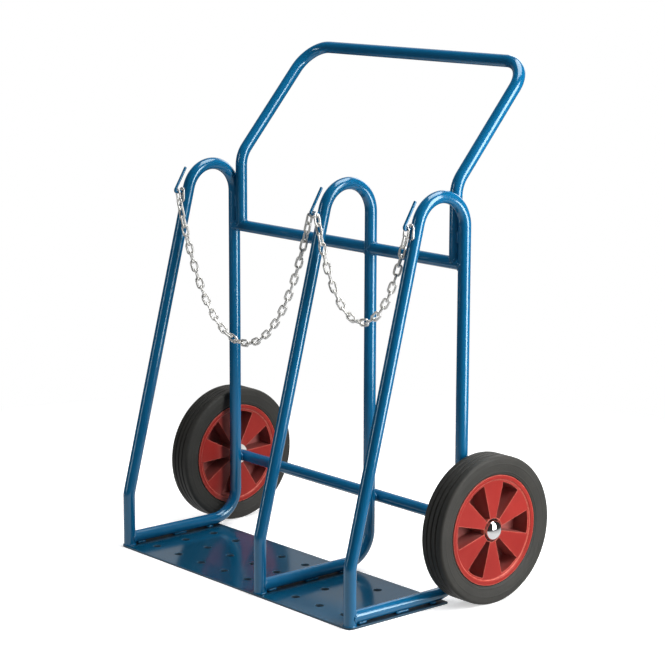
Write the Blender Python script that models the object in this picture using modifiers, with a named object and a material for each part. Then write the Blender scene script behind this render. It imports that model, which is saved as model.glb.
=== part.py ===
# Two-bay gas cylinder cart: three bent tube hoops on a perforated plate, a push handle,
# two spoked wheels on a through axle, and one retaining chain that hangs on three hooks.
# Origin on the floor, midway between the outer hoops and midway from feet to rear legs.
# +X is the cart's right seen from the front, +Y points to the rear and +Z up.
import math

import bmesh
import bpy
from mathutils import Matrix, Vector

MM = 0.001

# Clearances between pieces that touch, and round pieces that turn
SEAT_GAP = 0.3 * MM
RUN_CLEARANCE = 0.3 * MM

# Tube frame
TUBE_D = 25 * MM
CART_WIDTH = 720 * MM
BAY_LEFT = 447 * MM
HOOP_DEPTH = 292 * MM
HOOP_TOP = 813 * MM
HOOP_BEND_R = 63 * MM
FOOT_BEND_Z = 117 * MM
FOOT_BEND_R = 55 * MM
RUN_LIFT = 3 * MM
WELD_PROUD = 0.8 * MM
WELD_LAP = 3 * MM
CROSSBAR_Z = 675 * MM

# Push handle
HANDLE_TOP = 1056 * MM
HANDLE_BEND_Z = 829 * MM
HANDLE_LEAN = math.radians(41)
HANDLE_BEND_R = 60 * MM
HANDLE_CORNER_R = 63 * MM

# Base plate
PLATE_T = 4 * MM
PLATE_DEPTH = 263 * MM
PLATE_LIP = 2 * MM
PLATE_REAR_CORNER_R = 4 * MM
HOLE_D = 18 * MM
HOLE_ROW_PITCH = 77 * MM
HOLE_ROWS = 3
HOLE_FRONT_MARGIN = 52 * MM
HOLES_LEFT = 5
HOLES_LEFT_START = 48 * MM
HOLES_LEFT_END = 87 * MM
HOLES_RIGHT = 3
HOLES_RIGHT_START = 66 * MM
HOLES_RIGHT_END = 60 * MM

# Axle and wheels
AXLE_D = 20 * MM
TYRE_D = 300 * MM
TYRE_W = 56 * MM
SHOULDER_R = 6 * MM
SIDEWALL_DROP = 5 * MM
SIDEWALL_CROWN = 1.2 * MM
GROOVES = 3
GROOVE_PITCH = 12 * MM
GROOVE_W = 3.5 * MM
GROOVE_DEPTH = 2.5 * MM
WHEEL_OFFSET = 46 * MM
FLANGE_D = 223 * MM
FLANGE_T = 3.2 * MM
FLANGE_LIP = 11 * MM
RIM_W = 48 * MM
RIM_SEAT_D = 204 * MM
RIM_WALL = 5 * MM
SPOKES = 6
SPOKE_W = 41 * MM
SPOKE_WALL = 3 * MM
WEB_T = 3 * MM
SPOKE_PHASE = {"left": math.radians(13), "right": 0.0}
HUB_D = 48 * MM
HUB_L_INNER = 22 * MM
HUB_BORE_D = 27 * MM
RECESS_D = 42 * MM
RECESS_DEPTH = 8.5 * MM
BUSH_L = 12 * MM
BUSH_FLANGE_D = 37 * MM
BUSH_FLANGE_T = 2.2 * MM
WASHER_T = 2 * MM
WASHER_INNER_D = 45 * MM
WASHER_OUTER_D = 34 * MM
CAP_D = 40 * MM
CAP_H = 15 * MM
CAP_TOP_T = 3.5 * MM
CAP_DOME_H = 10 * MM

# Hooks and chain
HOOK_D = 6 * MM
HOOK_DROP = 55 * MM
HOOK_REACH = 37 * MM
HOOK_TIP_REACH = 19 * MM
HOOK_RISE = 52 * MM
HOOK_BEND_R = 4.2 * MM
WIRE_D = 3.6 * MM
LINK_PITCH = 19.6 * MM
LINK_W = 15 * MM
LINK_FUSE = 1.1 * MM
CHAIN_LEFT = 784 * MM
CHAIN_RIGHT = 510 * MM
CHAIN_TWIST = math.radians(45)

# Facets
MERGE_RANGE = 0.01 * MM
SHARP_ANGLE = math.radians(40)
WIRE_SHARP_ANGLE = math.radians(70)
TUBE_FACETS = 3
ROD_FACETS = 2
WIRE_FACETS = 0
CROWN_STEPS = 4
WHEEL_STEPS = 28
HUB_STEPS = 16
HOLE_STEPS = 8
COPE_STEPS = 24
DOME_STEPS = 5
CORNER_STEPS = 6
SHOULDER_STEPS = 3
FOOT_BEND_STEPS = 2
TOP_BEND_STEPS = 11
BEND_STEPS = 6
HOOK_BEND_STEPS = 5
SPOKE_POCKET_STEPS = 4
SOLVER_STEPS = 60
SOLVER_RATIO = 20

# Places that follow from the sizes above
TUBE_R = TUBE_D / 2
X_RIGHT = CART_WIDTH / 2
X_LEFT = -X_RIGHT
X_MIDDLE = X_LEFT + BAY_LEFT
HOOP_X = {"left": X_LEFT, "middle": X_MIDDLE, "right": X_RIGHT}
SIDES = {"left": -1, "right": 1}
FOOT_Y = -HOOP_DEPTH / 2
REAR_Y = HOOP_DEPTH / 2
RUN_Z = PLATE_T + RUN_LIFT + TUBE_R
PLATE_FRONT = FOOT_Y - TUBE_R - PLATE_LIP
PLATE_REAR = PLATE_FRONT + PLATE_DEPTH
AXLE_Y = REAR_Y + TUBE_D + SEAT_GAP
AXLE_Z = TYRE_D / 2
HOOK_Z = HOOP_TOP - HOOK_DROP

# The leaning front of a hoop is tangent to its top bend
BEND_Y = REAR_Y - HOOP_BEND_R
BEND_Z = HOOP_TOP - HOOP_BEND_R
BEND_RANGE = math.hypot(BEND_Y - FOOT_Y, BEND_Z - FOOT_BEND_Z)
HOOP_LEAN = (math.atan2(BEND_Y - FOOT_Y, BEND_Z - FOOT_BEND_Z)
             - math.asin(HOOP_BEND_R / BEND_RANGE))


def front_y(z):
    return FOOT_Y + (z - FOOT_BEND_Z) * math.tan(HOOP_LEAN)


def make_collection(name):
    collection = bpy.data.collections.new(name)
    bpy.context.scene.collection.children.link(collection)
    return collection


def make_material(name, colour, roughness, metallic=0.0):
    material = bpy.data.materials.new(name)
    material.use_nodes = True
    shader = material.node_tree.nodes["Principled BSDF"]
    shader.inputs["Base Color"].default_value = (*colour, 1.0)
    shader.inputs["Roughness"].default_value = roughness
    shader.inputs["Metallic"].default_value = metallic
    return material


def arc(centre, radius, start, end, steps):
    cy, cz = centre
    angles = [start + (end - start) * i / steps for i in range(steps + 1)]
    return [(cy + radius * math.cos(a), cz + radius * math.sin(a)) for a in angles]


def bent(corners, radii, steps):
    # a centre line through the corners, each inner corner rounded to its bend radius
    path = [corners[0]]
    for before, corner, after, radius in zip(corners, corners[1:], corners[2:], radii):
        back = (before - corner).normalized()
        on = (after - corner).normalized()
        half = back.angle(on) / 2
        centre = corner + (back + on).normalized() * radius / math.sin(half)
        arm = corner + back * radius / math.tan(half) - centre
        turn = math.pi - 2 * half
        axis = back.cross(on)
        path += [centre + Matrix.Rotation(-turn * i / steps, 3, axis) @ arm for i in range(steps + 1)]
    return path + [corners[-1]]


def place(obj, collection, material, parent=None):
    collection.objects.link(obj)
    obj.data.materials.append(material)
    obj.parent = parent
    return obj


def curve_mesh(curve):
    # the curve's surface as one welded mesh
    guide = bpy.data.objects.new(curve.name, curve)
    bpy.context.scene.collection.objects.link(guide)
    graph = bpy.context.evaluated_depsgraph_get()
    mesh = bpy.data.meshes.new_from_object(guide.evaluated_get(graph))
    mesh.name = curve.name
    bpy.data.objects.remove(guide)
    bpy.data.curves.remove(curve)
    tidy = bmesh.new()
    tidy.from_mesh(mesh)
    bmesh.ops.remove_doubles(tidy, verts=tidy.verts, dist=MERGE_RANGE)
    tidy.to_mesh(mesh)
    tidy.free()
    return mesh


def make_wire(name, paths, radius, facets, cyclic=False):
    # round wire along each centre line
    curve = bpy.data.curves.new(name, "CURVE")
    curve.dimensions = "3D"
    curve.bevel_depth = radius
    curve.bevel_resolution = facets
    curve.use_fill_caps = True
    for path in paths:
        spline = curve.splines.new("POLY")
        spline.points.add(len(path) - 1)
        for point, position in zip(spline.points, path):
            point.co = (*position, 1.0)
        spline.use_cyclic_u = cyclic
    return curve_mesh(curve)


def make_round(name, start, end, radius, steps):
    # a straight round bar from start to end
    run = end - start
    body = bmesh.new()
    bmesh.ops.create_cone(body, cap_ends=True, segments=steps, radius1=radius, radius2=radius,
                          depth=run.length)
    turn = run.to_track_quat("Z", "Y").to_matrix().to_4x4()
    bmesh.ops.transform(body, matrix=Matrix.Translation((start + end) / 2) @ turn, verts=body.verts)
    mesh = bpy.data.meshes.new(name)
    body.to_mesh(mesh)
    body.free()
    return mesh


def make_turned(name, profile, steps, closed=True):
    # a profile of (radius, height) points turned about Z
    mesh = bpy.data.meshes.new(name)
    count = len(profile)
    edges = [(i, (i + 1) % count) for i in range(count if closed else count - 1)]
    mesh.from_pydata([(r, 0.0, z) for r, z in profile], edges, [])
    obj = bpy.data.objects.new(name, mesh)
    screw = obj.modifiers.new("Turn", "SCREW")
    screw.steps = steps
    screw.render_steps = steps
    screw.use_merge_vertices = True
    screw.merge_threshold = MERGE_RANGE
    return obj


def make_cutter(name, mesh):
    cutter = bpy.data.objects.new(name, mesh)
    cutters.objects.link(cutter)
    cutter.hide_render = True
    cutter.display_type = "WIRE"
    return cutter


def add_boolean(obj, other, operation):
    modifier = obj.modifiers.new(operation.title(), "BOOLEAN")
    modifier.operation = operation
    modifier.object = other
    modifier.solver = "EXACT"


def smooth(obj, angle=SHARP_ANGLE):
    obj.data.shade_smooth()
    obj.data.set_sharp_from_angle(angle=angle)


def rounded_outline(corners):
    # corners are (x, y, radius, start angle) of a flat outline, anticlockwise
    outline = []
    for x, y, radius, start in corners:
        outline += arc((x, y), radius, start, start + math.pi / 2, CORNER_STEPS)
    return outline


def flat_spline(curve, outline):
    spline = curve.splines.new("POLY")
    spline.points.add(len(outline) - 1)
    for point, (x, y) in zip(spline.points, outline):
        point.co = (x, y, 0.0, 1.0)
    spline.use_cyclic_u = True


def spread(start, end, count):
    return [start + (end - start) * i / (count - 1) for i in range(count)]


def hole_places():
    left = spread(X_LEFT + HOLES_LEFT_START, X_MIDDLE - HOLES_LEFT_END, HOLES_LEFT)
    right = spread(X_MIDDLE + HOLES_RIGHT_START, X_RIGHT - HOLES_RIGHT_END, HOLES_RIGHT)
    rows = [PLATE_FRONT + HOLE_FRONT_MARGIN + HOLE_ROW_PITCH * i for i in range(HOLE_ROWS)]
    return [(x, y) for x in left + right for y in rows]


def build_plate():
    edge = X_RIGHT + TUBE_R + PLATE_LIP
    front_r = TUBE_R + PLATE_LIP
    rear_r = PLATE_REAR_CORNER_R
    quarter = math.pi / 2
    corners = [
        (edge - rear_r, PLATE_REAR - rear_r, rear_r, 0.0),
        (rear_r - edge, PLATE_REAR - rear_r, rear_r, quarter),
        (front_r - edge, PLATE_FRONT + front_r, front_r, 2 * quarter),
        (edge - front_r, PLATE_FRONT + front_r, front_r, 3 * quarter),
    ]
    curve = bpy.data.curves.new("base_plate", "CURVE")
    curve.dimensions = "2D"
    curve.fill_mode = "BOTH"
    curve.extrude = PLATE_T / 2
    flat_spline(curve, rounded_outline(corners))
    for x, y in hole_places():
        flat_spline(curve, arc((x, y), HOLE_D / 2, 0.0, 2 * math.pi, HOLE_STEPS)[:-1])
    plate = bpy.data.objects.new("base_plate", curve)
    plate.location.z = PLATE_T / 2
    place(plate, parts, paint)


def hoop_path(x):
    drop = FOOT_BEND_R * math.tan(HOOP_LEAN / 2)
    lean_side = math.pi - HOOP_LEAN
    path = [(FOOT_Y, PLATE_T + SEAT_GAP)]
    path += arc((FOOT_Y + FOOT_BEND_R, FOOT_BEND_Z - drop), FOOT_BEND_R, math.pi, lean_side,
                FOOT_BEND_STEPS)
    path += arc((BEND_Y, BEND_Z), HOOP_BEND_R, lean_side, 0.0, TOP_BEND_STEPS)
    path += arc((BEND_Y, RUN_Z + HOOP_BEND_R), HOOP_BEND_R, 0.0, -math.pi / 2, BEND_STEPS)
    path.append((FOOT_Y + TUBE_R + WELD_PROUD, RUN_Z))
    return [Vector((x, y, z)) for y, z in path]


def build_hoops():
    for side, x in HOOP_X.items():
        name = "hoop_" + side
        hoop = bpy.data.objects.new(name, make_wire(name, [hoop_path(x)], TUBE_R, TUBE_FACETS))
        place(hoop, parts, paint)
        # the run's end is welded all round to the back of the foot
        inside = Vector((x, FOOT_Y + WELD_LAP, RUN_Z))
        outside = Vector((x, FOOT_Y + TUBE_R + WELD_PROUD + WELD_LAP, RUN_Z))
        weld = make_round(name + "_weld", inside, outside, TUBE_R + WELD_PROUD, HUB_STEPS)
        add_boolean(hoop, make_cutter(name + "_weld", weld), "UNION")
        smooth(hoop)


def build_crossbars():
    cope_r = TUBE_R + SEAT_GAP
    floor = Vector((0, REAR_Y, CROSSBAR_Z - TUBE_D))
    above = Vector((0, REAR_Y, CROSSBAR_Z + TUBE_D))
    copes = {}
    for side, x in HOOP_X.items():
        shift = Vector((x, 0, 0))
        bar = make_round("cope_" + side, floor + shift, above + shift, cope_r, COPE_STEPS)
        copes[side] = make_cutter("cope_" + side, bar)
    for name, (start, end) in {"left": ("left", "middle"), "right": ("middle", "right")}.items():
        ends = [Vector((HOOP_X[side], REAR_Y, CROSSBAR_Z)) for side in (start, end)]
        mesh = make_round("crossbar_" + name, *ends, TUBE_R, HUB_STEPS)
        bar = place(bpy.data.objects.new(mesh.name, mesh), parts, paint)
        add_boolean(bar, copes[start], "DIFFERENCE")
        add_boolean(bar, copes[end], "DIFFERENCE")
        smooth(bar)


def build_handle():
    inset = TUBE_D + SEAT_GAP
    reach = (HANDLE_TOP - HANDLE_BEND_Z) * math.tan(HANDLE_LEAN)
    corners = []
    for x in (X_LEFT + inset, X_RIGHT - inset):
        leg = [
            Vector((x, REAR_Y, CROSSBAR_Z)),
            Vector((x, REAR_Y, HANDLE_BEND_Z)),
            Vector((x, REAR_Y + reach, HANDLE_TOP)),
        ]
        corners += leg if not corners else leg[::-1]
    radii = [HANDLE_BEND_R, HANDLE_CORNER_R, HANDLE_CORNER_R, HANDLE_BEND_R]
    mesh = make_wire("push_handle", [bent(corners, radii, BEND_STEPS)], TUBE_R, TUBE_FACETS)
    handle = place(bpy.data.objects.new("push_handle", mesh), parts, paint)
    # both legs are coped to stand on the crossbar
    ends = [Vector((x, REAR_Y, CROSSBAR_Z)) for x in (X_LEFT, X_RIGHT)]
    cope = make_round("cope_handle", *ends, TUBE_R + SEAT_GAP, COPE_STEPS)
    add_boolean(handle, make_cutter("cope_handle", cope), "DIFFERENCE")
    smooth(handle)


def hook_path(x):
    tip_z = HOOK_Z + HOOK_RISE
    corners = [
        Vector((x, front_y(HOOK_Z), HOOK_Z)),
        Vector((x, front_y(HOOK_Z) - HOOK_REACH, HOOK_Z)),
        Vector((x, front_y(tip_z) - HOOK_TIP_REACH, tip_z)),
    ]
    return bent(corners, [HOOK_BEND_R], HOOK_BEND_STEPS)


def build_hooks():
    for side, x in HOOP_X.items():
        name = "hook_" + side
        hook = bpy.data.objects.new(name, make_wire(name, [hook_path(x)], HOOK_D / 2, ROD_FACETS))
        place(hook, parts, paint)
        # the rod's foot is shaped to the tube that it is welded to
        ends = [Vector((x, front_y(z), z)) for z in (HOOK_Z - TUBE_D, HOOK_Z + TUBE_D)]
        cope = make_round("cope_" + name, *ends, TUBE_R + SEAT_GAP, COPE_STEPS)
        add_boolean(hook, make_cutter("cope_" + name, cope), "DIFFERENCE")
        smooth(hook)


def link_path(start, end, normal):
    # the centre line of one link between its two bearing points
    along = (end - start).normalized()
    across = along.cross(normal)
    crown_r = (LINK_W - WIRE_D) / 2
    straight = (LINK_PITCH - LINK_FUSE + WIRE_D) / 2 - crown_r
    centre = (start + end) / 2
    path = []
    for sign in (1, -1):
        for angle in (math.pi * i / CROWN_STEPS for i in range(CROWN_STEPS + 1)):
            rise = along * (straight + crown_r * math.sin(angle))
            path.append(centre + sign * (rise + across * crown_r * math.cos(angle)))
    return path


def even_links(length):
    # a span starts with a flat link and ends with a turned one
    return 2 * round(length / LINK_PITCH / 2)


def span_points(hook, saddle, links):
    # bearing points of the links on a catenary, from over the hook's rod to the saddle link
    hang = (HOOK_D + LINK_FUSE) / 2 + RUN_CLEARANCE
    length = links * LINK_PITCH - hang
    side = math.copysign(1.0, saddle.x - hook.x)
    width = abs(saddle.x - hook.x)
    fall = saddle.z - hook.z
    low = width / SOLVER_RATIO
    high = width * SOLVER_RATIO
    for _ in range(SOLVER_STEPS):
        scale = (low + high) / 2
        if 2 * scale * math.sinh(width / (2 * scale)) > math.sqrt(length ** 2 - fall ** 2):
            low = scale
        else:
            high = scale
    first = scale * math.atanh(fall / length) - width / 2
    points = [hook]
    for k in range(1, links + 1):
        run = k * LINK_PITCH - hang
        x = scale * math.asinh(run / scale + math.sinh(first / scale))
        z = scale * (math.cosh(x / scale) - math.cosh(first / scale))
        points.append(hook + Vector((side * (x - first), 0.0, z)))
    points[0] = hook - (points[1] - hook).normalized() * hang
    return points


def build_chain():
    # one chain from the left hook over the middle hook to the right hook
    corner_y = front_y(HOOK_Z) - HOOK_REACH
    tip_y = front_y(HOOK_Z + HOOK_RISE) - HOOK_TIP_REACH
    tip_lean = math.atan2(tip_y - corner_y, HOOK_RISE)
    lift = HOOK_D / 2 + RUN_CLEARANCE + WIRE_D / 2
    tip_back = (lift + WIRE_D / 2) * math.tan(tip_lean) + HOOK_D / 2 / math.cos(tip_lean)
    chain_y = corner_y + tip_back + RUN_CLEARANCE + WIRE_D / 2
    # the links swing about the wire that lies on the hooks' rods
    pivot = bpy.data.objects.new("chain_pivot", None)
    pivot.location = (X_MIDDLE, chain_y, HOOK_Z + lift)
    parts.objects.link(pivot)
    # the saddle link lies along the chain with the middle hook's rod through it
    saddle_z = -(LINK_W - WIRE_D) / 2
    crowns = [Vector((side * LINK_PITCH / 2, 0.0, saddle_z)) for side in (-1, 1)]
    across = Vector((0.0, 1.0, 0.0))
    flat = [link_path(*crowns, across)]
    turned = []
    for x, crown, length in zip((X_LEFT, X_RIGHT), crowns, (CHAIN_LEFT, CHAIN_RIGHT)):
        links = even_links(length)
        points = span_points(Vector((x - X_MIDDLE, 0.0, -lift)), crown, links)
        for k, (before, after) in enumerate(zip(points, points[1:])):
            along = (after - before).normalized()
            # the span twists one way on its way down and back on its way up
            twist = -CHAIN_TWIST * math.sin(2 * math.pi * k / (links - 1))
            normal = Matrix.Rotation(twist, 3, along) @ across
            if k % 2 == 0:
                flat.append(link_path(before, after, normal))
            else:
                turned.append(link_path(before, after, along.cross(normal)))
    # every second link is turned a quarter, and each is fused to the next where they bear
    chain = bpy.data.objects.new("chain", make_wire("chain", flat, WIRE_D / 2, WIRE_FACETS, True))
    place(chain, parts, zinc, pivot)
    other = make_cutter("turned_links", make_wire("turned_links", turned, WIRE_D / 2, WIRE_FACETS, True))
    other.parent = pivot
    add_boolean(chain, other, "UNION")
    smooth(chain, WIRE_SHARP_ANGLE)


def wheel_centre_profile():
    bore = HUB_BORE_D / 2
    recess = RECESS_D / 2
    face = SPOKE_W / 2
    lip = FLANGE_D / 2 - FLANGE_LIP
    flange = FLANGE_D / 2
    edge = RIM_W / 2
    inner_edge = edge - FLANGE_T
    seat = RIM_SEAT_D / 2
    return [
        (bore, face - RECESS_DEPTH), (recess, face - RECESS_DEPTH), (recess, face), (lip, face),
        (lip + edge - face, edge), (flange, edge), (flange, inner_edge), (seat, inner_edge),
        (seat, -inner_edge), (flange, -inner_edge), (flange, -edge), (lip + edge - face, -edge),
        (lip, -face), (HUB_D / 2, -face), (HUB_D / 2, -HUB_L_INNER), (bore, -HUB_L_INNER),
    ]


def spoke_pockets(name, low, high, phase):
    # wedge pockets between the spokes of one face, from height low to high, as one cutter
    outer = RIM_SEAT_D / 2 - RIM_WALL
    inner = HUB_D / 2
    curve = bpy.data.curves.new(name, "CURVE")
    curve.dimensions = "2D"
    curve.fill_mode = "BOTH"
    curve.extrude = (high - low) / 2
    for i in range(SPOKES):
        middle = phase + (2 * i + 1) * math.pi / SPOKES
        halves = [math.pi / SPOKES / 2 - math.asin(SPOKE_WALL / 2 / r) for r in (outer, inner)]
        wedge = arc((0.0, 0.0), outer, middle - halves[0], middle + halves[0], SPOKE_POCKET_STEPS)
        wedge += arc((0.0, 0.0), inner, middle + halves[1], middle - halves[1], 1)
        flat_spline(curve, wedge)
    mesh = curve_mesh(curve)
    mesh.transform(Matrix.Translation((0.0, 0.0, (low + high) / 2)))
    return mesh


def tyre_profile():
    # one half of the section from the bead to the tread's middle, then its mirror image
    bead = RIM_SEAT_D / 2 + SEAT_GAP
    flange = FLANGE_D / 2 + SEAT_GAP
    bead_half = RIM_W / 2 - FLANGE_T - SEAT_GAP
    half = TYRE_W / 2
    tread = TYRE_D / 2
    shoulder_z = half - SHOULDER_R
    side = [(bead, bead_half), (flange, bead_half), (flange + SEAT_GAP, half - SIDEWALL_DROP)]
    side.append(((flange + tread - SHOULDER_R) / 2, half - SIDEWALL_CROWN))
    corner = arc((tread - SHOULDER_R, shoulder_z), SHOULDER_R, math.pi / 2, 0.0, SHOULDER_STEPS)
    grooves = []
    for i in range(GROOVES):
        middle = ((GROOVES - 1) / 2 - i) * GROOVE_PITCH
        floor = tread - GROOVE_DEPTH
        grooves += [(tread, middle + GROOVE_W / 2), (floor, middle + GROOVE_W / 4)]
        grooves += [(floor, middle - GROOVE_W / 4), (tread, middle - GROOVE_W / 2)]
    back = [(r, -z) for r, z in reversed(side + corner)]
    return side + corner + grooves + back


def bush_profile():
    bore = AXLE_D / 2 + RUN_CLEARANCE
    sleeve = HUB_BORE_D / 2 - SEAT_GAP
    flange = BUSH_FLANGE_D / 2
    return [
        (bore, BUSH_FLANGE_T), (flange, BUSH_FLANGE_T), (flange, 0.0), (sleeve, 0.0),
        (sleeve, -BUSH_L), (bore, -BUSH_L),
    ]


def washer_profile(diameter):
    bore = AXLE_D / 2 + SEAT_GAP
    return [(bore, WASHER_T), (diameter / 2, WASHER_T), (diameter / 2, 0.0), (bore, 0.0)]


def cap_profile():
    # a domed push-on cap, open below over the axle's end
    outer = CAP_D / 2
    bore = AXLE_D / 2 + SEAT_GAP
    spring = CAP_H - CAP_DOME_H
    dome = [(0.0, CAP_H)]
    for i in range(DOME_STEPS - 1, -1, -1):
        angle = math.pi / 2 * i / DOME_STEPS
        dome.append((outer * math.cos(angle), spring + CAP_DOME_H * math.sin(angle)))
    inside = CAP_H - CAP_TOP_T
    return dome + [(outer, 0.0), (bore, 0.0), (bore, inside), (0.0, inside)]


def build_axle():
    # the washers, caps and bushes stack outward from the ends of the axle tube
    hub_inner = WHEEL_OFFSET - HUB_L_INNER
    recess_floor = WHEEL_OFFSET + SPOKE_W / 2 - RECESS_DEPTH
    washer_in = hub_inner - BUSH_FLANGE_T - WASHER_T - SEAT_GAP - RUN_CLEARANCE
    washer_out = recess_floor + BUSH_FLANGE_T + SEAT_GAP + RUN_CLEARANCE
    cap_seat = washer_out + WASHER_T + SEAT_GAP
    tube_end = X_RIGHT + washer_in - SEAT_GAP
    rod_end = X_RIGHT + cap_seat + CAP_H - CAP_TOP_T - SEAT_GAP
    bore = AXLE_D / 2 + SEAT_GAP
    tube = [(bore, tube_end), (TUBE_R, tube_end), (TUBE_R, -tube_end), (bore, -tube_end)]
    rod = [(0.0, rod_end), (AXLE_D / 2, rod_end), (AXLE_D / 2, -rod_end), (0.0, -rod_end)]
    centre = Vector((0.0, AXLE_Y, AXLE_Z))
    axle_tube = place(make_turned("axle_tube", tube, HUB_STEPS), parts, paint)
    axle_rod = place(make_turned("axle_rod", rod, HUB_STEPS, False), parts, steel)
    for obj in (axle_tube, axle_rod):
        obj.location = centre
        obj.rotation_euler.y = math.pi / 2
    fittings = {
        "washer_inner": (washer_profile(WASHER_INNER_D), washer_in, zinc),
        "washer_outer": (washer_profile(WASHER_OUTER_D), washer_out, nylon),
        "axle_cap": (cap_profile(), cap_seat, chrome),
    }
    for side, sign in SIDES.items():
        for name, (profile, offset, finish) in fittings.items():
            closed = name != "axle_cap"
            obj = place(make_turned(name + "_" + side, profile, HUB_STEPS, closed), parts, finish)
            obj.location = centre + Vector((sign * (X_RIGHT + offset), 0.0, 0.0))
            obj.rotation_euler.y = sign * math.pi / 2


def build_wheels():
    face = SPOKE_W / 2
    recess_floor = face - RECESS_DEPTH
    for side, sign in SIDES.items():
        hub = bpy.data.objects.new("wheel_pivot_" + side, None)
        parts.objects.link(hub)
        hub.location = (sign * (X_RIGHT + WHEEL_OFFSET), AXLE_Y, AXLE_Z)
        hub.rotation_euler.y = sign * math.pi / 2
        wheel = make_turned("wheel_centre_" + side, wheel_centre_profile(), WHEEL_STEPS)
        place(wheel, parts, red, hub)
        # the web lies in turn at the outer and the inner face, so each face shows six spokes
        reach = {"outer": (WEB_T - face, 2 * face), "inner": (-2 * face, face - WEB_T)}
        for turn, (name, (low, high)) in enumerate(reach.items()):
            phase = SPOKE_PHASE[side] + turn * math.pi / SPOKES
            name = "pockets_" + name + "_" + side
            pockets = make_cutter(name, spoke_pockets(name, low, high, phase))
            pockets.parent = hub
            add_boolean(wheel, pockets, "DIFFERENCE")
        place(make_turned("tyre_" + side, tyre_profile(), WHEEL_STEPS), parts, rubber, hub)
        outer = place(make_turned("hub_bush_outer_" + side, bush_profile(), HUB_STEPS), parts, nylon, hub)
        outer.location.z = recess_floor + SEAT_GAP
        inner = place(make_turned("hub_bush_inner_" + side, bush_profile(), HUB_STEPS), parts, nylon, hub)
        inner.location.z = -HUB_L_INNER - SEAT_GAP
        inner.rotation_euler.x = math.pi


for old in list(bpy.data.objects):
    bpy.data.objects.remove(old, do_unlink=True)

parts = make_collection("gas_cylinder_cart")
cutters = make_collection("cutters")
paint = make_material("blue paint", (0.012, 0.11, 0.27), 0.28)
red = make_material("red plastic", (0.50, 0.035, 0.025), 0.42)
rubber = make_material("black rubber", (0.035, 0.035, 0.032), 0.65)
zinc = make_material("bright zinc", (0.72, 0.72, 0.70), 0.28, 1.0)
steel = make_material("plain steel", (0.55, 0.55, 0.56), 0.38, 1.0)
nylon = make_material("black nylon", (0.012, 0.012, 0.013), 0.45)
chrome = make_material("chrome", (0.85, 0.85, 0.86), 0.08, 1.0)

build_plate()
build_hoops()
build_crossbars()
build_handle()
build_hooks()
build_axle()
build_wheels()
build_chain()
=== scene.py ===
import math

import bmesh
import bpy
from mathutils import Matrix, Vector


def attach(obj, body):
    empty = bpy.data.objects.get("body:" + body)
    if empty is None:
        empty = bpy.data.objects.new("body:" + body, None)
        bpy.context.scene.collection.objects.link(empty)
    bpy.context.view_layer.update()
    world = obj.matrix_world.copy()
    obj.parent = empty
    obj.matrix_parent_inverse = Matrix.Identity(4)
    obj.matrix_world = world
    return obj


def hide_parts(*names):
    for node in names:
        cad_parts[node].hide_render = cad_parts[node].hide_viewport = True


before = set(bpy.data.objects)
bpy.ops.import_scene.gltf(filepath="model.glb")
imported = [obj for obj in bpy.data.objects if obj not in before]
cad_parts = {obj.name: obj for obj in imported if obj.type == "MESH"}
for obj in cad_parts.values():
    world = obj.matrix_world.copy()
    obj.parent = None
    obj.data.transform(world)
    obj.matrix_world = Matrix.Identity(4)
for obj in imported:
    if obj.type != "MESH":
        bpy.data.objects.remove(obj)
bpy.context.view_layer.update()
print("frame loaded with", len(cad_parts), "nodes")


def linkObject(name, data):
    obj = bpy.data.objects.new(name, data)
    bpy.context.scene.collection.objects.link(obj)
    return obj


# camera at the photograph's place, the image taken as square
cameraSetup = {
    "place": (3.3959, -2.8182, 1.3607),
    "turn": 49.14, "dip": 10.97, "roll": 0.19,
    "lens": 119.4, "sensor": 36.0, "clip": (0.05, 60.0),
}


def setCamera(setup):
    data = bpy.data.cameras.new("photoCamera")
    data.lens = setup["lens"]
    data.sensor_width = setup["sensor"]
    data.clip_start, data.clip_end = setup["clip"]
    camera = linkObject("photoCamera", data)
    aim = Matrix.Rotation(math.radians(setup["turn"]), 4, "Z")
    aim = aim @ Matrix.Rotation(math.radians(90.0 - setup["dip"]), 4, "X")
    aim = aim @ Matrix.Rotation(math.radians(setup["roll"]), 4, "Z")
    camera.matrix_world = Matrix.Translation(setup["place"]) @ aim
    bpy.context.scene.camera = camera


setCamera(cameraSetup)
bpy.context.scene.view_settings.view_transform = "Standard"
print("camera set")


# mesh helpers: a shape is a pair of lists, filled piece by piece
def newShape():
    return {"verts": [], "faces": []}


def joinRings(shape, rings, closed):
    # walls from each ring of points to the next
    base = len(shape["verts"])
    sides = len(rings[0])
    count = len(rings)
    for ring in rings:
        shape["verts"] += [tuple(point) for point in ring]
    for i in range(count if closed else count - 1):
        low = base + i * sides
        high = base + ((i + 1) % count) * sides
        for j in range(sides):
            k = (j + 1) % sides
            shape["faces"].append((low + j, low + k, high + k, high + j))


def addRings(shape, rings, closed=False):
    first = len(shape["verts"])
    joinRings(shape, rings, closed)
    if not closed:
        sides = len(rings[0])
        last = len(shape["verts"]) - sides
        shape["faces"].append(tuple(first + j for j in reversed(range(sides))))
        shape["faces"].append(tuple(last + j for j in range(sides)))


def loopAngles(count):
    return [2 * math.pi * i / count for i in range(count)]


def circlePoints(radius, count):
    return [(radius * math.cos(a), radius * math.sin(a)) for a in loopAngles(count)]


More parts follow.
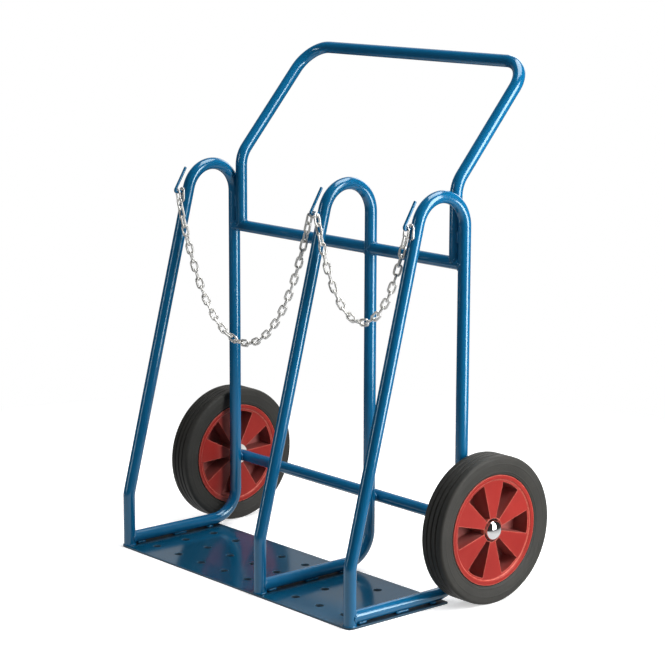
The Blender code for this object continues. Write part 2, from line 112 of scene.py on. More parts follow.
def sweepRings(path, radius, sides, closed=False, swell=None, alongX=0.8):
    # rings round a centre line, carried along without twist
    count = len(path)
    ways = []
    for i in range(count):
        before = path[i - 1] if closed or i > 0 else path[0]
        after = path[(i + 1) % count] if closed or i < count - 1 else path[-1]
        ways.append((after - before).normalized())
    guide = Vector((1, 0, 0)) if abs(ways[0].x) < alongX else Vector((0, 1, 0))
    out = (guide - ways[0] * guide.dot(ways[0])).normalized()
    rings = []
    for i, point in enumerate(path):
        if i:
            out = ways[i - 1].rotation_difference(ways[i]) @ out
        over = ways[i].cross(out)
        wide = radius * (swell(i) if swell else 1.0)
        rings.append([point + (out * math.cos(a) + over * math.sin(a)) * wide
                      for a in loopAngles(sides)])
    return rings


def arcPoints(centre, radius, start, end, step=3.0):
    # points on an arc in a plane, angles in degrees
    count = max(2, math.ceil(abs(end - start) / step))
    angles = [math.radians(start + (end - start) * i / count) for i in range(count + 1)]
    return [(centre[0] + radius * math.cos(a), centre[1] + radius * math.sin(a)) for a in angles]


def bentPath(corners, radii, step=3.0):
    # a line through corners, each rounded to its own radius
    path = [corners[0]]
    for before, corner, after, radius in zip(corners, corners[1:], corners[2:], radii):
        back = (before - corner).normalized()
        on = (after - corner).normalized()
        half = back.angle(on) / 2
        centre = corner + (back + on).normalized() * radius / math.sin(half)
        arm = corner + back * radius / math.tan(half) - centre
        turn = math.pi - 2 * half
        steps = math.ceil(math.degrees(turn) / step)
        axis = back.cross(on)
        path += [centre + Matrix.Rotation(-turn * i / steps, 3, axis) @ arm
                 for i in range(steps + 1)]
    return path + [corners[-1]]


def addTurned(shape, profile, steps, closed=True):
    # a profile of (radius, along) points turned about the local X axis
    rings = []
    for radius, along in profile:
        rings.append([(along, y, z) for z, y in circlePoints(radius, steps)])
    joinRings(shape, rings, closed)


def evenPath(path, step, closed=False):
    # the same line with points a fixed step apart
    loop = path + [path[0]] if closed else path
    total = sum((b - a).length for a, b in zip(loop, loop[1:]))
    count = max(3, round(total / step))
    marks = [total * i / count for i in range(count + (0 if closed else 1))]
    points = []
    run = 0.0
    at = 0
    for mark in marks:
        while at < len(loop) - 2 and run + (loop[at + 1] - loop[at]).length < mark:
            run += (loop[at + 1] - loop[at]).length
            at += 1
        part = loop[at + 1] - loop[at]
        share = (mark - run) / part.length if part.length else 0.0
        points.append(loop[at] + part * min(share, 1.0))
    return points


def meshFrom(name, shape, merge=0.000002):
    mesh = bpy.data.meshes.new(name)
    mesh.from_pydata(shape["verts"], [], shape["faces"])
    work = bmesh.new()
    work.from_mesh(mesh)
    bmesh.ops.remove_doubles(work, verts=work.verts, dist=merge)
    bmesh.ops.recalc_face_normals(work, faces=work.faces)
    work.to_mesh(mesh)
    work.free()
    return mesh


def putPiece(name, mesh, material, body, slot, nodes=(), place=(0, 0, 0), sharp=38.0):
    piece = linkObject(name, mesh)
    piece.location = place
    mesh.materials.clear()
    mesh.materials.append(material)
    mesh.shade_smooth()
    mesh.set_sharp_from_angle(angle=math.radians(sharp))
    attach(piece, body)
    if nodes:
        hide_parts(*nodes)


def putShape(name, shape, *looks, **more):
    putPiece(name, meshFrom(name, shape), *looks, **more)


def bakedMesh(obj):
    # the object's shape with its modifiers taken in
    bpy.context.view_layer.update()
    graph = bpy.context.evaluated_depsgraph_get()
    return bpy.data.meshes.new_from_object(obj.evaluated_get(graph))


# node helpers: a value is a plain setting or the socket that feeds it
def addNode(tree, kind, settings=None, values=None):
    node = tree.nodes.new(kind)
    for key, value in (settings or {}).items():
        setattr(node, key, value)
    for key, value in (values or {}).items():
        if isinstance(value, bpy.types.NodeSocket):
            tree.links.new(value, node.inputs[key])
        else:
            node.inputs[key].default_value = value
    return node


def addNoise(tree, vector, scale, values):
    fed = {"Vector": vector, "Scale": scale, **values}
    return addNode(tree, "ShaderNodeTexNoise", None, fed).outputs["Fac"]


def mapRange(tree, source, low, high, toLow=0.0, toHigh=1.0):
    node = addNode(tree, "ShaderNodeMapRange", {"clamp": True}, {
        "Value": source, "From Min": low, "From Max": high, "To Min": toLow, "To Max": toHigh})
    return node.outputs["Result"]


def blend(tree, kind, mask, first, second):
    mix = addNode(tree, "ShaderNodeMix", {"data_type": kind}, {
        "Factor": mask, "A": first, "B": second})
    return mix.outputs["Result"]


def product(tree, value, *factors):
    for factor in factors:
        step = addNode(tree, "ShaderNodeMath", {"operation": "MULTIPLY"}, {0: value, 1: factor})
        value = step.outputs["Value"]
    return value


def vectorMath(tree, operation, values):
    return addNode(tree, "ShaderNodeVectorMath", {"operation": operation}, values).outputs


# shader node groups shared by the finishes
def openGroup(name, inputs, outputs):
    group = bpy.data.node_groups.new(name, "ShaderNodeTree")
    for label, kind, value in inputs:
        socket = group.interface.new_socket(
            label, in_out="INPUT", socket_type="NodeSocket" + kind)
        if value is not None:
            socket.default_value = value
    for label, kind in outputs:
        group.interface.new_socket(label, in_out="OUTPUT", socket_type="NodeSocket" + kind)
    start = group.nodes.new("NodeGroupInput")
    end = group.nodes.new("NodeGroupOutput")
    return group, start.outputs, end.inputs


toneSetup = {"noise": {"Detail": 4.0, "Roughness": 0.55}, "spread": (0.3, 0.7)}


def buildToneGroup(setup):
    # soft drift between two tones
    group, start, end = openGroup("softTone", [
        ("Vector", "Vector", None), ("Scale", "Float", 6.0),
        ("Low", "Color", None), ("High", "Color", None),
    ], [("Color", "Color"), ("Drift", "Float")])
    noise = addNoise(group, start["Vector"], start["Scale"], setup["noise"])
    drift = mapRange(group, noise, *setup["spread"])
    group.links.new(blend(group, "RGBA", drift, start["Low"], start["High"]), end["Color"])
    group.links.new(drift, end["Drift"])
    return group


grainSetup = {"fine": {"Detail": 2.0}, "slow": {"Detail": 3.0}}


def buildGrainGroup(setup):
    # fine surface grain over a slower ripple, as a height
    group, start, end = openGroup("surfaceGrain", [
        ("Vector", "Vector", None), ("Fine", "Float", 900.0),
        ("Slow", "Float", 90.0), ("Blend", "Float", 0.5),
    ], [("Height", "Float")])
    fine = addNoise(group, start["Vector"], start["Fine"], setup["fine"])
    slow = addNoise(group, start["Vector"], start["Slow"], setup["slow"])
    group.links.new(blend(group, "FLOAT", start["Blend"], fine, slow), end["Height"])
    return group


scuffSetup = {
    "lines": {"Scale": 4.0, "Detail": 5.0, "Distortion": 0.4}, "thin": (0.60, 0.72),
    "patches": {"Detail": 2.0}, "where": (0.50, 0.68),
}


def buildScuffGroup(setup):
    # thin rubbed lines that come and go in patches
    group, start, end = openGroup("rubMarks", [
        ("Vector", "Vector", None), ("Stretch", "Vector", (8.0, 90.0, 8.0)),
        ("Patch", "Float", 9.0), ("Amount", "Float", 0.5),
    ], [("Mask", "Float")])
    drawn = vectorMath(group, "MULTIPLY", {0: start["Vector"], 1: start["Stretch"]})
    lines = addNode(group, "ShaderNodeTexNoise", None, {
        "Vector": drawn["Vector"], **setup["lines"]})
    patches = addNoise(group, start["Vector"], start["Patch"], setup["patches"])
    thin = mapRange(group, lines.outputs["Fac"], *setup["thin"])
    where = mapRange(group, patches, *setup["where"])
    group.links.new(product(group, thin, where, start["Amount"]), end["Mask"])
    return group


hollowSetup = {"samples": 12, "shut": (0.30, 0.90)}


def buildHollowGroup(setup):
    # painted shade: how far a spot is shut in by what stands near it, where a shade colour is
    # painted in
    group, start, end = openGroup("hollowShadeMask", [
        ("Distance", "Float", 0.03), ("Amount", "Float", 0.8),
    ], [("Mask", "Float")])
    near = addNode(group, "ShaderNodeAmbientOcclusion", {"samples": setup["samples"]}, {
        "Distance": start["Distance"]})
    shut = mapRange(group, near.outputs["AO"], *setup["shut"], 1.0, 0.0)
    group.links.new(product(group, shut, start["Amount"]), end["Mask"])
    return group


edgeSetup = {
    "rays": {"samples": 8, "inside": True, "only_local": True}, "thin": (0.55, 0.95),
    "noise": {"Detail": 3.0}, "worn": (0.30, 0.55, 0.35, 1.0),
}


def buildEdgeGroup(setup):
    # outer edges, painted pale: partly wear from handling, partly a painted highlight along the
    # edges
    group, start, end = openGroup("edgeWearAndHighlight", [
        ("Vector", "Vector", None), ("Distance", "Float", 0.0015),
        ("Break", "Float", 120.0), ("Amount", "Float", 0.6),
    ], [("Mask", "Float")])
    near = addNode(group, "ShaderNodeAmbientOcclusion", setup["rays"], {
        "Distance": start["Distance"]})
    noise = addNoise(group, start["Vector"], start["Break"], setup["noise"])
    edge = mapRange(group, near.outputs["AO"], *setup["thin"], 1.0, 0.0)
    worn = mapRange(group, noise, *setup["worn"])
    group.links.new(product(group, edge, worn, start["Amount"]), end["Mask"])
    return group


softTone = buildToneGroup(toneSetup)
surfaceGrain = buildGrainGroup(grainSetup)
rubMarks = buildScuffGroup(scuffSetup)
hollowShadeMask = buildHollowGroup(hollowSetup)
edgeWearAndHighlight = buildEdgeGroup(edgeSetup)
print("shader groups built")


def placeGroup(tree, group, values):
    return addNode(tree, "ShaderNodeGroup", {"node_tree": group}, values).outputs


def finishMaterial(setup, rubDulls=0.3):
    # tone, rub marks, painted shade in hollows, pale edges that are partly wear and partly a
    # painted highlight, roughness and grain for one finish
    material = bpy.data.materials.new(setup["name"])
    material.use_nodes = True
    tree = material.node_tree
    shader = tree.nodes["Principled BSDF"]
    for key, value in setup["fixed"].items():
        shader.inputs[key].default_value = value
    vector = addNode(tree, "ShaderNodeTexCoord").outputs["Object"]
    tone = placeGroup(tree, softTone, {
        "Vector": vector, "Scale": setup["toneScale"],
        "Low": (*setup["low"], 1.0), "High": (*setup["high"], 1.0)})
    marks = placeGroup(tree, rubMarks, {
        "Vector": vector, "Stretch": setup["stretch"],
        "Patch": setup["patch"], "Amount": setup["rub"]})
    shown = blend(tree, "RGBA", marks["Mask"], tone["Color"], (*setup["rubColour"], 1.0))
    rough = mapRange(tree, tone["Drift"], 0.0, 1.0, *setup["rough"])
    worn = addNode(tree, "ShaderNodeMath", {"operation": "MULTIPLY_ADD", "use_clamp": True}, {
        0: marks["Mask"], 1: rubDulls, 2: rough})
    dull = worn.outputs["Value"]
    if "hollow" in setup:
        # painted shade: spots shut in by nearby parts take a painted shade colour and a duller
        # finish
        shadeMask = placeGroup(tree, hollowShadeMask, setup["hollow"])["Mask"]
        shown = blend(tree, "RGBA", shadeMask, shown, (*setup["shadeColour"], 1.0))
        dull = blend(tree, "FLOAT", shadeMask, dull, setup["shadeRough"])
    if "edge" in setup:
        # pale edges: partly wear, partly a painted highlight along the edges
        edge = placeGroup(tree, edgeWearAndHighlight, {"Vector": vector, **setup["edge"]})["Mask"]
        shown = blend(tree, "RGBA", edge, shown, (*setup["edgeWearAndHighlightColour"], 1.0))
    tree.links.new(shown, shader.inputs["Base Color"])
    tree.links.new(dull, shader.inputs["Roughness"])
    grain = placeGroup(tree, surfaceGrain, {
        "Vector": vector, "Fine": setup["fine"], "Slow": setup["slow"], "Blend": setup["blend"]})
    bump = addNode(tree, "ShaderNodeBump", None, {
        "Strength": setup["bump"], "Distance": setup["depth"], "Height": grain["Height"]})
    tree.links.new(bump.outputs["Normal"], shader.inputs["Normal"])
    return material


bluePaintSetup = {
    "name": "bluePaint",
    "fixed": {"IOR": 1.7, "Specular Tint": (0.74, 0.94, 1.0, 1.0)},
    "toneScale": 7.0, "low": (0.0017, 0.104, 0.236), "high": (0.0025, 0.124, 0.282),
    "stretch": (40.0, 40.0, 6.0), "patch": 14.0, "rub": 0.04, "rubColour": (0.03, 0.15, 0.30),
    "rough": (0.14, 0.19), "fine": 600.0, "slow": 45.0, "blend": 0.96,
    "bump": 0.012, "depth": 0.002,
}
platePaintSetup = {
    "name": "platePaint",
    "fixed": {"IOR": 1.5},
    "toneScale": 5.0, "low": (0.0024, 0.056, 0.115), "high": (0.0034, 0.070, 0.142),
    "stretch": (9.0, 60.0, 9.0), "patch": 8.0, "rub": 0.12, "rubColour": (0.04, 0.12, 0.19),
    "rough": (0.11, 0.17), "fine": 900.0, "slow": 70.0, "blend": 0.8,
    "bump": 0.03, "depth": 0.002,
    # painted shade beside and under the runs, and pale edges that are partly a painted highlight
    "hollow": {"Distance": 0.018, "Amount": 0.95},
    "shadeColour": (0.002, 0.010, 0.020), "shadeRough": 0.75,
    "edge": {"Distance": 0.0016, "Amount": 0.8}, "edgeWearAndHighlightColour": (0.050, 0.170, 0.260),
}
redPlasticSetup = {
    "name": "redPlastic",
    "fixed": {"IOR": 1.48, "Specular Tint": (1.0, 0.55, 0.50, 1.0)},
    "toneScale": 14.0, "low": (0.250, 0.0095, 0.0070), "high": (0.300, 0.0138, 0.0096),
    "stretch": (50.0, 50.0, 50.0), "patch": 25.0, "rub": 0.12, "rubColour": (0.56, 0.085, 0.060),
    "rough": (0.34, 0.44), "fine": 1600.0, "slow": 220.0, "blend": 0.4,
    "bump": 0.06, "depth": 0.002,
    # painted shade tone in the pockets and round the cap, and pale edges that are partly a painted
    # highlight
    "hollow": {"Distance": 0.040, "Amount": 0.96},
    "shadeColour": (0.300, 0.100, 0.090), "shadeRough": 0.6,
    "edge": {"Distance": 0.0022, "Amount": 0.9}, "edgeWearAndHighlightColour": (0.66, 0.16, 0.115),
}
zincSetup = {
    "name": "brightZinc",
    "fixed": {"Metallic": 0.85},
    "toneScale": 160.0, "low": (0.70, 0.69, 0.66), "high": (0.90, 0.89, 0.86),
    "stretch": (120.0, 120.0, 120.0), "patch": 90.0, "rub": 0.25,
    "rubColour": (0.45, 0.45, 0.43),
    "rough": (0.28, 0.42), "fine": 2200.0, "slow": 500.0, "blend": 0.5,
    "bump": 0.08, "depth": 0.001,
}
steelSetup = {
    "name": "plainSteel",
    "fixed": {"Metallic": 1.0},
    "toneScale": 60.0, "low": (0.46, 0.46, 0.47), "high": (0.58, 0.58, 0.58),
    "stretch": (400.0, 20.0, 20.0), "patch": 40.0, "rub": 0.3, "rubColour": (0.36, 0.36, 0.37),
    "rough": (0.30, 0.42), "fine": 2000.0, "slow": 300.0, "blend": 0.4,
    "bump": 0.08, "depth": 0.001,
}
chromeSetup = {
    "name": "capChrome",
    "fixed": {"Metallic": 1.0},
    "toneScale": 70.0, "low": (0.80, 0.80, 0.81), "high": (0.88, 0.88, 0.88),
    "stretch": (80.0, 80.0, 80.0), "patch": 60.0, "rub": 0.15, "rubColour": (0.68, 0.68, 0.69),
    "rough": (0.05, 0.09), "fine": 1500.0, "slow": 160.0, "blend": 0.8,
    "bump": 0.02, "depth": 0.001,
}
nylonSetup = {
    "name": "blackNylon",
    "fixed": {"IOR": 1.5},
    "toneScale": 60.0, "low": (0.008, 0.008, 0.009), "high": (0.014, 0.014, 0.015),
    "stretch": (60.0, 60.0, 60.0), "patch": 40.0, "rub": 0.2, "rubColour": (0.03, 0.03, 0.03),
    "rough": (0.42, 0.55), "fine": 1800.0, "slow": 300.0, "blend": 0.4,
    "bump": 0.08, "depth": 0.001,
}
rubberSetup = {
    "name": "tyreRubber",
    "fixed": {"IOR": 1.36},
    "toneScale": 22.0, "low": (0.023, 0.0225, 0.0198), "high": (0.034, 0.033, 0.029),
    "stretch": (30.0, 30.0, 30.0), "patch": 16.0, "rub": 0.25,
    "rubColour": (0.085, 0.085, 0.078),
    "rough": (0.54, 0.66), "fine": 1100.0, "slow": 160.0, "blend": 0.35,
    "bump": 0.16, "depth": 0.002,
}

bluePaint = finishMaterial(bluePaintSetup)
platePaint = finishMaterial(platePaintSetup)
redPlastic = finishMaterial(redPlasticSetup)
brightZinc = finishMaterial(zincSetup)
plainSteel = finishMaterial(steelSetup)
capChrome = finishMaterial(chromeSetup)
blackNylon = finishMaterial(nylonSetup)
tyreRubber = finishMaterial(rubberSetup)
print("finishes built")

# tube frame, all sizes in metres
tubeSetup = {"radius": 0.0125, "sides": 40}
hoopSetup = {
    "across": {"Left": -0.360, "Middle": 0.087, "Right": 0.360},
    "footY": -0.146, "rearY": 0.146, "top": 0.813, "bend": 0.063,
    "footBendZ": 0.117, "footBend": 0.055, "runZ": 0.0195, "footZ": 0.0043,
}


def hoopLean(setup):
    dy = setup["rearY"] - setup["bend"] - setup["footY"]
    dz = setup["top"] - setup["bend"] - setup["footBendZ"]
    return math.atan2(dy, dz) - math.asin(setup["bend"] / math.hypot(dy, dz))


lean = hoopLean(hoopSetup)


def frontY(z):
    return hoopSetup["footY"] + (z - hoopSetup["footBendZ"]) * math.tan(lean)


def copeDepth(offset, lift=0.0):
    # how far a tube's round stands out at an offset from its centre line
    return math.sqrt(max(0.0, tubeSetup["radius"] ** 2 - offset ** 2) + lift ** 2)


def putTube(name, rings, node):
    shape = newShape()
    addRings(shape, rings)
    putShape(name, shape, bluePaint, "frame", "blue_paint", [node])


def buildHoop(side, x, setup):
    footY, bend, footBend = setup["footY"], setup["bend"], setup["footBend"]
    slope = 180.0 - math.degrees(lean)
    drop = footBend * math.tan(lean / 2)
    inY = setup["rearY"] - bend
    line = [(footY, setup["footZ"])]
    line += arcPoints((footY + footBend, setup["footBendZ"] - drop), footBend, 180.0, slope)
    line += arcPoints((inY, setup["top"] - bend), bend, slope, 0.0)
    line += arcPoints((inY, setup["runZ"] + bend), bend, 0.0, -90.0)
    line.append((footY + tubeSetup["radius"], setup["runZ"]))
    path = [Vector((x, y, z)) for y, z in line]
    rings = sweepRings(path, tubeSetup["radius"], tubeSetup["sides"])
    # the run's end follows the round of the foot
    for point in rings[-1]:
        point.y = footY + copeDepth(point.x - x)
    putTube("hoop" + side, rings, "hoop_" + side.lower())


for side, x in hoopSetup["across"].items():
    buildHoop(side, x, hoopSetup)
print("hoops built")

crossbarSetup = {"z": 0.675, "spans": {"Left": ("Left", "Middle"), "Right": ("Middle", "Right")}}


def buildCrossbar(side, ends, setup):
    y = hoopSetup["rearY"]
    places = [hoopSetup["across"][end] for end in ends]
    path = [Vector((x, y, setup["z"])) for x in places]
    rings = sweepRings(path, tubeSetup["radius"], tubeSetup["sides"])
    for ring, x, sign in zip(rings, places, (1, -1)):
        for point in ring:
            point.x = x + sign * copeDepth(point.y - y)
    putTube("crossbar" + side, rings, "crossbar_" + side.lower())


for side, ends in crossbarSetup["spans"].items():
    buildCrossbar(side, ends, crossbarSetup)

handleSetup = {
    "inset": 0.0253, "bendZ": 0.829, "top": 1.0559, "leanBack": 40.93,
    "bend": 0.060, "corner": 0.063,
}


def buildHandle(setup):
    y = hoopSetup["rearY"]
    z = crossbarSetup["z"]
    reach = (setup["top"] - setup["bendZ"]) * math.tan(math.radians(setup["leanBack"]))
    left = hoopSetup["across"]["Left"] + setup["inset"]
    right = hoopSetup["across"]["Right"] - setup["inset"]
    leg = [(y, z), (y, setup["bendZ"]), (y + reach, setup["top"])]
    corners = [Vector((left, *at)) for at in leg] + [Vector((right, *at)) for at in reversed(leg)]
    radii = [setup["bend"], setup["corner"], setup["corner"], setup["bend"]]
    rings = sweepRings(bentPath(corners, radii), tubeSetup["radius"], tubeSetup["sides"])
    # both legs stand coped on the crossbar
    for ring in (rings[0], rings[-1]):
        for point in ring:
            point.z = z + copeDepth(point.y - y)
    putTube("pushHandle", rings, "push_handle")


buildHandle(handleSetup)
print("crossbars and handle built")

hookSetup = {
    "radius": 0.003, "z": 0.758, "root": 0.006, "reach": 0.037, "tipReach": 0.019, "rise": 0.052,
    "bend": 0.0042, "bendStep": 8.0, "tipCut": 0.0006, "tipShare": 0.8, "sides": 20,
}


def hookCorners(x, setup):
    tipZ = setup["z"] + setup["rise"]
    return [
        Vector((x, frontY(setup["z"]) - setup["root"], setup["z"])),
        Vector((x, frontY(setup["z"]) - setup["reach"], setup["z"])),
        Vector((x, frontY(tipZ) - setup["tipReach"], tipZ)),
    ]


def buildHook(side, x, setup):
    path = bentPath(hookCorners(x, setup), [setup["bend"]], setup["bendStep"])
    # sheared end with its edge just broken
    last = path[-1]
    way = (path[-1] - path[-2]).normalized()
    path = path[:-1] + [last - way * setup["tipCut"], last]
    rings = sweepRings(path, setup["radius"], setup["sides"])
    rings[-1] = [last + (point - last) * setup["tipShare"] for point in rings[-1]]
    putTube("hook" + side, rings, "hook_" + side.lower())


for side, x in hoopSetup["across"].items():
    buildHook(side, x, hookSetup)
print("hooks built")

plateSetup = {
    "thick": 0.004, "front": -0.1605, "depth": 0.263, "half": 0.3745,
    "frontRound": 0.0145, "rearRound": 0.004, "roundStep": 6.0,
    "hole": 0.009, "holeSides": 48, "edge": 0.0005, "edgeSteps": 2, "sharp": 30.0,
    "columns": [-0.312, -0.234, -0.156, -0.078, 0.0, 0.153, 0.2265, 0.300],
    "rows": [-0.1085, -0.0315, 0.0455],
}


def buildPlate(setup):
    curve = bpy.data.curves.new("basePlate", "CURVE")
    curve.dimensions = "2D"
    curve.fill_mode = "BOTH"
    curve.extrude = setup["thick"] / 2 - setup["edge"]
    curve.bevel_depth = setup["edge"]
    curve.bevel_resolution = setup["edgeSteps"]
    curve.offset = -setup["edge"]
    half, front = setup["half"], setup["front"]
    rear = front + setup["depth"]
    corners = [
        (half, rear, setup["rearRound"], 0.0), (-half, rear, setup["rearRound"], 90.0),
        (-half, front, setup["frontRound"], 180.0), (half, front, setup["frontRound"], 270.0),
    ]
    outline = []
    for x, y, turn, start in corners:
        centre = (x - math.copysign(turn, x), y - math.copysign(turn, y))
        outline += arcPoints(centre, turn, start, start + 90.0, setup["roundStep"])
    loops = [outline]
    holeStep = 360.0 / setup["holeSides"]
    for x in setup["columns"]:
        for y in setup["rows"]:
            loops.append(arcPoints((x, y), setup["hole"], 360.0, 0.0, holeStep)[:-1])
    for loop in loops:
        spline = curve.splines.new("POLY")
        spline.points.add(len(loop) - 1)
        for point, (x, y) in zip(spline.points, loop):
            point.co = (x, y, 0.0, 1.0)
        spline.use_cyclic_u = True
    guide = linkObject("basePlateGuide", curve)
    mesh = bakedMesh(guide)
    mesh.name = "basePlate"
    bpy.data.objects.remove(guide)
    mesh.transform(Matrix.Translation((0, 0, setup["thick"] / 2)))
    putPiece("basePlate", mesh, platePaint, "frame", "blue_paint", ["base_plate"],
             sharp=setup["sharp"])


buildPlate(plateSetup)
print("plate built")

axleSetup = {"y": 0.1713, "z": 0.150, "bore": 0.0103, "half": 0.3787, "chamfer": 0.0006}


def buildAxleTube(setup):
    radius, bore = tubeSetup["radius"], setup["bore"]
    half, cut = setup["half"], setup["chamfer"]
    side = [(bore + cut, half), (radius - cut, half), (radius, half - cut)]
    profile = side + [(r, -along) for r, along in reversed(side)]
    profile += [(bore, cut - half), (bore, half - cut)]
    shape = newShape()
    addTurned(shape, profile, tubeSetup["sides"])
    place = (0.0, setup["y"], setup["z"])
    putShape("axleTube", shape, bluePaint, "frame", "blue_paint", ["axle_tube"], place)


buildAxleTube(axleSetup)
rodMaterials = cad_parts["axle_rod"].data.materials
rodMaterials.clear()
rodMaterials.append(plainSteel)
print("axle built")

weldSetup = {
    "joint": 0.0022, "lift": 0.002, "loopSteps": 72, "step": 0.0006, "sides": 10, "sharp": 80.0,
    "foot": {"bead": 0.0017, "rise": 0.0006},
    "stitch": {"bead": 0.0026, "aside": 0.0042, "rise": 0.0019,
               "spans": ((-0.128, -0.106), (-0.030, 0.004), (0.062, 0.078))},
    "eye": {"bead": 0.00253, "ring": 0.0075},
    "hook": {"bead": 0.0013, "loopSteps": 40},
    "seam": {"aside": 0.0062, "span": (0.716, 0.742)},
    "ripple": {"long": 0.0028, "base": 0.86, "rise": 0.18, "end": 0.35, "endSteps": 5,
               "wander": ((0.06, 0.37, 0.0), (0.04, 0.113, 1.0))},
}


def addBead(shape, path, radius, closed=False):
    # a bead with the ripple that each puddle leaves
    points = evenPath(path, weldSetup["step"], closed)
    ripple = weldSetup["ripple"]
    last = len(points) - 1

    def swell(i):
        wave = abs(math.cos(math.pi * i * weldSetup["step"] / ripple["long"]))
        wander = sum(size * math.sin(i * rate + start) for size, rate, start in ripple["wander"])
        full = ripple["base"] + ripple["rise"] * wave + wander
        if closed:
            return full
        grown = (1.0 - ripple["end"]) * min(i, last - i) / ripple["endSteps"]
        return full * min(1.0, ripple["end"] + grown)

    addRings(shape, sweepRings(points, radius, weldSetup["sides"], closed, swell), closed)


def buildWelds(setup):
    joint, lift = setup["joint"], setup["lift"]
    foot, stitch, eye, hook, seam = (
        setup[key] for key in ("foot", "stitch", "eye", "hook", "seam"))
    footY, rearY, runZ = hoopSetup["footY"], hoopSetup["rearY"], hoopSetup["runZ"]
    plateTop, barZ = plateSetup["thick"], crossbarSetup["z"]
    circle = circlePoints(tubeSetup["radius"], setup["loopSteps"])
    runs, stitches, bars, grips, rods = (newShape() for i in range(5))
    for x in hoopSetup["across"].values():
        # the run's end on the foot, and the foot on the plate
        loop = [Vector((x + u, footY + copeDepth(u, lift), runZ + v)) for u, v in circle]
        addBead(runs, loop, joint, True)
        loop = [Vector((x + u, footY + v, plateTop + foot["rise"])) for u, v in circle]
        addBead(runs, loop, foot["bead"], True)
        # stitches that fill the slit under the run
        for span in stitch["spans"]:
            for sign in (-1, 1):
                across, z = x + sign * stitch["aside"], plateTop + stitch["rise"]
                addBead(stitches, [Vector((across, y, z)) for y in span], stitch["bead"])
        # eye weld between rear leg and axle tube
        middle = (rearY + axleSetup["y"]) / 2
        loop = [Vector((x + u, middle, axleSetup["z"] + v))
                for u, v in circlePoints(eye["ring"], setup["loopSteps"])]
        addBead(rods, loop, eye["bead"], True)
        # hook rod on the front of the hoop
        loop = []
        for u, v in circlePoints(hookSetup["radius"], hook["loopSteps"]):
            z = hookSetup["z"] + v
            loop.append(Vector((x + u, frontY(z) - copeDepth(u) / math.cos(lean), z)))
        addBead(rods, loop, hook["bead"], True)
    for ends in crossbarSetup["spans"].values():
        for end, sign in zip(ends, (1, -1)):
            x = hoopSetup["across"][end]
            loop = [Vector((x + sign * copeDepth(u, lift), rearY + u, barZ + v))
                    for u, v in circle]
            addBead(bars, loop, joint, True)
    for sign, end in ((1, "Left"), (-1, "Right")):
        x = hoopSetup["across"][end] + sign * handleSetup["inset"]
        loop = [Vector((x + u, rearY + v, barZ + copeDepth(v, lift))) for u, v in circle]
        addBead(grips, loop, joint, True)
        # seams that tie the handle leg to the hoop's rear leg
        x = hoopSetup["across"][end] + sign * handleSetup["inset"] / 2
        for face in (-1, 1):
            y = rearY + face * seam["aside"]
            addBead(grips, [Vector((x, y, z)) for z in seam["span"]], joint)
    shapes = {"runWelds": runs, "stitchWelds": stitches, "crossbarWelds": bars,
              "handleWelds": grips, "rodWelds": rods}
    for name, shape in shapes.items():
        putShape(name, shape, bluePaint, "frame", "blue_paint", sharp=setup["sharp"])


buildWelds(weldSetup)
print("welds built")

wheelSetup = {
    "offset": 0.046, "turn": {"Left": 12.5, "Right": 0.0}, "steps": 144, "sharp": 13.0,
    "bore": 0.0135, "recess": 0.0236, "recessDepth": 0.0085, "face": 0.0205, "edge": 0.024,
    "flange": 0.1115, "flangeT": 0.0032, "lip": 0.1005, "seat": 0.102,
    "hub": 0.025, "boss": 0.0236, "hubInner": 0.022,
    "spokes": 6, "wall": 0.003, "web": 0.003, "pocket": 0.097, "arcSteps": {"pocket": 14, "hub": 5},
    "merge": 0.00002, "flat": 0.5, "corner": 35.0, "soften": 0.0006, "softenSteps": 3,
}


def wheelPlace(sign, along):
    return (sign * (hoopSetup["across"]["Right"] + along), axleSetup["y"], axleSetup["z"])


def wheelProfile(setup):
    face, edge = setup["face"], setup["edge"]
    inner = edge - setup["flangeT"]
    slope = setup["lip"] + edge - face
    recessFloor = face - setup["recessDepth"]
    return [
        (setup["bore"], recessFloor), (setup["recess"], recessFloor), (setup["recess"], face),
        (setup["lip"], face), (slope, edge), (setup["flange"], edge), (setup["flange"], inner),
        (setup["seat"], inner), (setup["seat"], -inner), (setup["flange"], -inner),
        (setup["flange"], -edge), (slope, -edge), (setup["lip"], -face), (setup["boss"], -face),
        (setup["boss"], -setup["hubInner"]), (setup["bore"], -setup["hubInner"]),
    ]


def pocketShape(setup, low, high, turn):
    # wedge prisms between the spokes of one face, along local X
    shape = newShape()
    for i in range(setup["spokes"]):
        middle = math.radians(turn) + 2 * math.pi * i / setup["spokes"]
        ring = []
        for key, sign in (("pocket", 1), ("hub", -1)):
            radius, steps = setup[key], setup["arcSteps"][key]
            half = math.pi / setup["spokes"] / 2 - math.asin(setup["wall"] / 2 / radius)
            for k in range(steps + 1):
                angle = middle + sign * half * (2 * k / steps - 1)
                ring.append((radius * math.sin(angle), radius * math.cos(angle)))
        addRings(shape, [[(x, y, z) for y, z in ring] for x in (low, high)])
    return shape


def softenEdges(mesh, setup):
    # slivers from the cuts go first, so that every edge takes its full rounding
    work = bmesh.new()
    work.from_mesh(mesh)
    bmesh.ops.remove_doubles(work, verts=work.verts, dist=setup["merge"])
    bmesh.ops.dissolve_limit(work, angle_limit=math.radians(setup["flat"]),
                             verts=work.verts, edges=work.edges)
    corner = math.radians(setup["corner"])
    edges = [edge for edge in work.edges if edge.calc_face_angle() > corner]
    bmesh.ops.bevel(work, geom=edges, offset=setup["soften"], segments=setup["softenSteps"],
                    profile=0.5, affect="EDGES", clamp_overlap=True)
    work.to_mesh(mesh)
    work.free()


